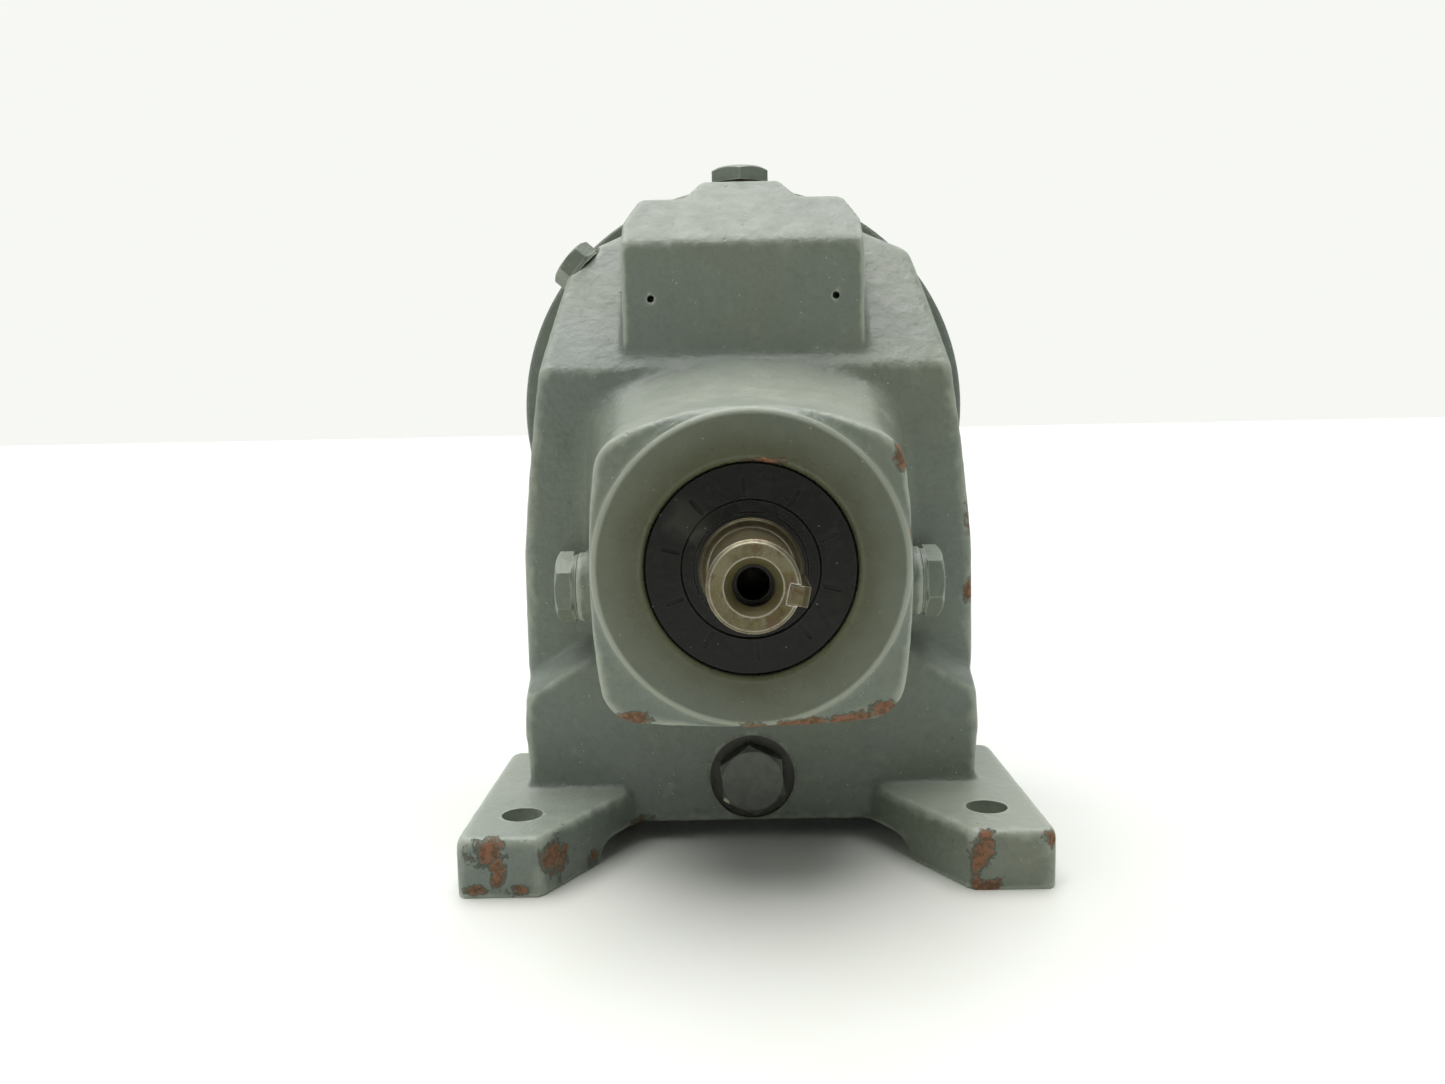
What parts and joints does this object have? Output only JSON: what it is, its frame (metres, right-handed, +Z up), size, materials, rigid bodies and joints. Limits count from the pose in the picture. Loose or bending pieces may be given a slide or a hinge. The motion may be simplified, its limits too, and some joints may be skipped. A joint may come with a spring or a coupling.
{
  "type": "parallel-shaft gear reducer",
  "caption": "Foot-mounted cast-iron gear reducer with a keyed output shaft and oil seal in a squarish neck, and an input shaft through a round flange behind.",
  "frame": {"origin": "centre of the four foot holes on the base plane", "axes": "-Y along the output shaft towards its free end, +Z up from the feet, +X to the right seen from the output end"},
  "size_m": [0.2104, 0.2625, 0.2733],
  "materials": {
    "grey_green_paint": "satin paint over rough casting",
    "machined_steel": "turned and oiled",
    "gear_steel": "cut and hardened",
    "bearing_steel": "ground",
    "seal_rubber": "moulded, oily",
    "gasket_paper": "pressed fibre",
    "black_oxide_steel": "blackened",
    "washer_metal": "pressed"
  },
  "bodies": {
    "casing": {"housing": "grey_green_paint", "rear_cover": "grey_green_paint", "input_flange": "grey_green_paint", "cover_gasket": "gasket_paper", "flange_gasket": "gasket_paper", "cover_screws": "black_oxide_steel", "flange_screws": "black_oxide_steel", "dowel_pins": "machined_steel", "bearing_circlip": "black_oxide_steel", "output_seal": "seal_rubber", "input_seal": "seal_rubber", "drain_plug": "black_oxide_steel", "drain_washer": "washer_metal", "left_level_plug": "grey_green_paint", "left_level_washer": "grey_green_paint", "right_level_plug": "grey_green_paint", "right_level_washer": "grey_green_paint", "shoulder_plug": "grey_green_paint", "shoulder_washer": "grey_green_paint", "vent_plug": "grey_green_paint", "vent_washer": "washer_metal", "output_front_outer_ring": "bearing_steel", "output_rear_outer_ring": "bearing_steel", "mid_front_outer_ring": "bearing_steel", "mid_rear_outer_ring": "bearing_steel", "input_front_outer_ring": "bearing_steel", "input_rear_outer_ring": "bearing_steel"},
    "output_train": {"output_shaft": "machined_steel", "output_key": "machined_steel", "output_gear": "gear_steel", "output_gear_key": "machined_steel", "output_spacer": "machined_steel", "output_front_inner_ring": "bearing_steel", "output_rear_inner_ring": "bearing_steel"},
    "mid_train": {"mid_shaft": "machined_steel", "mid_wheel": "gear_steel", "mid_wheel_key": "machined_steel", "mid_wheel_circlip": "black_oxide_steel", "mid_front_inner_ring": "bearing_steel", "mid_rear_inner_ring": "bearing_steel"},
    "input_train": {"input_shaft": "machined_steel", "input_key": "machined_steel", "input_front_inner_ring": "bearing_steel", "input_rear_inner_ring": "bearing_steel"},
    "output_front_ball_set": {"output_front_balls": "bearing_steel"},
    "output_rear_ball_set": {"output_rear_balls": "bearing_steel"},
    "mid_front_ball_set": {"mid_front_balls": "bearing_steel"},
    "mid_rear_ball_set": {"mid_rear_balls": "bearing_steel"},
    "input_front_ball_set": {"input_front_balls": "bearing_steel"},
    "input_rear_ball_set": {"input_rear_balls": "bearing_steel"}
  },
  "joints": [
    {"name": "output_spin", "type": "hinge", "parent": "casing", "child": "output_train", "pos_m": [0, 0, 0.115], "axis": [0, -1, 0], "continuous": true},
    {"name": "mid_spin", "type": "hinge", "parent": "casing", "child": "mid_train", "pos_m": [0, 0, 0.215], "axis": [0, -1, 0], "continuous": true},
    {"name": "input_spin", "type": "hinge", "parent": "casing", "child": "input_train", "pos_m": [0, 0, 0.17], "axis": [0, -1, 0], "continuous": true},
    {"name": "output_front_balls_roll", "type": "hinge", "parent": "casing", "child": "output_front_ball_set", "pos_m": [0, 0, 0.115], "axis": [0, -1, 0], "continuous": true},
    {"name": "output_rear_balls_roll", "type": "hinge", "parent": "casing", "child": "output_rear_ball_set", "pos_m": [0, 0, 0.115], "axis": [0, -1, 0], "continuous": true},
    {"name": "mid_front_balls_roll", "type": "hinge", "parent": "casing", "child": "mid_front_ball_set", "pos_m": [0, 0, 0.215], "axis": [0, -1, 0], "continuous": true},
    {"name": "mid_rear_balls_roll", "type": "hinge", "parent": "casing", "child": "mid_rear_ball_set", "pos_m": [0, 0, 0.215], "axis": [0, -1, 0], "continuous": true},
    {"name": "input_front_balls_roll", "type": "hinge", "parent": "casing", "child": "input_front_ball_set", "pos_m": [0, 0, 0.17], "axis": [0, -1, 0], "continuous": true},
    {"name": "input_rear_balls_roll", "type": "hinge", "parent": "casing", "child": "input_rear_ball_set", "pos_m": [0, 0, 0.17], "axis": [0, -1, 0], "continuous": true}
  ],
  "couplings": [
    {"joint": "mid_spin", "follows": "output_spin", "ratio": -3},
    {"joint": "input_spin", "follows": "output_spin", "ratio": 9},
    {"joint": "output_front_balls_roll", "follows": "output_spin", "ratio": 0.4},
    {"joint": "output_rear_balls_roll", "follows": "output_spin", "ratio": 0.4},
    {"joint": "mid_front_balls_roll", "follows": "output_spin", "ratio": -1.2},
    {"joint": "mid_rear_balls_roll", "follows": "output_spin", "ratio": -1.2},
    {"joint": "input_front_balls_roll", "follows": "output_spin", "ratio": 3.6},
    {"joint": "input_rear_balls_roll", "follows": "output_spin", "ratio": 3.6}
  ]
}
